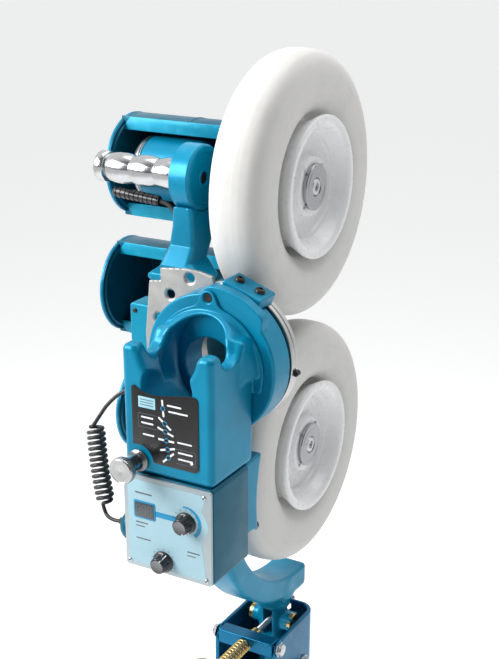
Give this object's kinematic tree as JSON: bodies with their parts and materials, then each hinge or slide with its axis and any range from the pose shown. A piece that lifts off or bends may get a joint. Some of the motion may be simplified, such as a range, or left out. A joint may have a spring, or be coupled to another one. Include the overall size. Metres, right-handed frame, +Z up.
{
  "type": "baseball pitching machine",
  "caption": "Two-wheel pitching machine: stacked tyres on a head that rolls about the ball line, ball chute, control box, yoke and swivel bracket on a tripod.",
  "frame": {"origin": "centre of the footprint on the floor that the tripod stands on", "axes": "+Z up, +Y the way the ball is thrown, +X to the operator's right"},
  "size_m": [1.0872, 0.977, 1.6626],
  "materials": {
    "blue_paint": "metallic teal-blue gloss paint on castings and sheet",
    "bracket_paint": "blue-violet metallic paint",
    "tyre": "off-white polyurethane, fine turned lines",
    "white_paint": "gloss white paint",
    "turned_aluminium": "turned, bright",
    "plate_aluminium": "rough cast and worn",
    "brass": "brass and yellow zinc",
    "steel": "zinc plated",
    "black_plastic": "moulded, satin",
    "panel": "screened aluminium panel",
    "rubber": "black, matt"
  },
  "bodies": {
    "tripod": {"tripod_hub": "blue_paint", "leg_1": "turned_aluminium", "leg_2": "turned_aluminium", "leg_3": "turned_aluminium", "foot_1": "rubber", "foot_2": "rubber", "foot_3": "rubber"},
    "lock_knob": {"pan_lock_knob": "black_plastic"},
    "bracket": {"pan_spindle": "steel", "swivel_bracket": "bracket_paint", "tilt_pivot_bolt": "steel", "crossbar": "bracket_paint", "crossbar_bolt_left": "steel", "crossbar_bolt_right": "steel", "elevation_sleeve": "brass", "elevation_spring": "brass"},
    "elevation": {"elevation_screw": "steel", "elevation_knob": "brass"},
    "chassis": {"yoke": "blue_paint", "control_box": "blue_paint", "control_panel": "panel", "display_window": "black_plastic", "chute_housing": "blue_paint", "front_ring": "blue_paint", "keeper_block": "blue_paint", "keeper_screw_1": "black_plastic", "keeper_screw_2": "black_plastic", "label_plate": "black_plastic", "plunger_bushing": "turned_aluminium", "cord_entry": "blue_paint", "cord_gland": "rubber", "cord_lead": "rubber", "cord_coil": "rubber", "cord_tail": "rubber", "power_inlet": "black_plastic"},
    "plunger": {"plunger": "turned_aluminium"},
    "speed_knob": {"speed_knob": "black_plastic"},
    "pitch_knob": {"pitch_knob": "black_plastic"},
    "head": {"head_frame": "blue_paint", "bearing_ring": "turned_aluminium", "index_plate": "plate_aluminium", "top_motor_guard": "blue_paint", "centre_guard": "blue_paint", "bottom_motor_guard": "blue_paint", "top_motor": "blue_paint", "bottom_motor": "blue_paint", "top_motor_cap": "turned_aluminium", "bottom_motor_cap": "turned_aluminium", "handle": "turned_aluminium", "handle_boss": "blue_paint", "head_arm": "blue_paint", "junction_box": "blue_paint", "strain_relief": "rubber", "motor_cable": "rubber"},
    "top_wheel": {"top_tyre": "tyre", "top_rim": "white_paint", "top_hub": "turned_aluminium"},
    "bottom_wheel": {"bottom_tyre": "tyre", "bottom_rim": "white_paint", "bottom_hub": "turned_aluminium"}
  },
  "joints": [
    {"name": "pan", "type": "hinge", "parent": "tripod", "child": "bracket", "pos_m": [0, -0.1355, 0.53], "axis": [0, 0, 1], "range_deg": [-175, 175]},
    {"name": "pan_lock", "type": "hinge", "parent": "tripod", "child": "lock_knob", "pos_m": [0, -0.1575, 0.482], "axis": [0, 1, 0], "range_deg": [-360, 360]},
    {"name": "tilt", "type": "hinge", "parent": "bracket", "child": "chassis", "pos_m": [0, -0.1095, 0.6], "axis": [1, 0, 0], "range_deg": [-10, 20]},
    {"name": "elevation_turn", "type": "hinge", "parent": "bracket", "child": "elevation", "pos_m": [0, -0.1995, 0.681], "axis": [0, 1, 0], "range_deg": [-600, 1200]},
    {"name": "index_pull", "type": "slide", "parent": "chassis", "child": "plunger", "axis": [0, -1, 0], "range_m": [0, 0.012], "stiffness_N_per_m": 800, "springref_m": -0.012},
    {"name": "speed_turn", "type": "hinge", "parent": "chassis", "child": "speed_knob", "pos_m": [0.033, -0.4445, 1.0305], "axis": [0, 1, 0], "range_deg": [-135, 135]},
    {"name": "pitch_turn", "type": "hinge", "parent": "chassis", "child": "pitch_knob", "pos_m": [-0.008, -0.4445, 0.955], "axis": [0, 1, 0], "range_deg": [-60, 150]},
    {"name": "head_roll", "type": "hinge", "parent": "chassis", "child": "head", "pos_m": [0, -0.2575, 1.23], "axis": [0, -1, 0], "range_deg": [0, 127.2]},
    {"name": "top_wheel_spin", "type": "hinge", "parent": "head", "child": "top_wheel", "pos_m": [0, -0.0575, 1.4526], "axis": [1, 0, 0], "continuous": true},
    {"name": "bottom_wheel_spin", "type": "hinge", "parent": "head", "child": "bottom_wheel", "pos_m": [0, -0.0575, 1.0074], "axis": [1, 0, 0], "continuous": true}
  ],
  "couplings": [
    {"joint": "elevation_turn", "follows": "tilt", "ratio": 60}
  ]
}
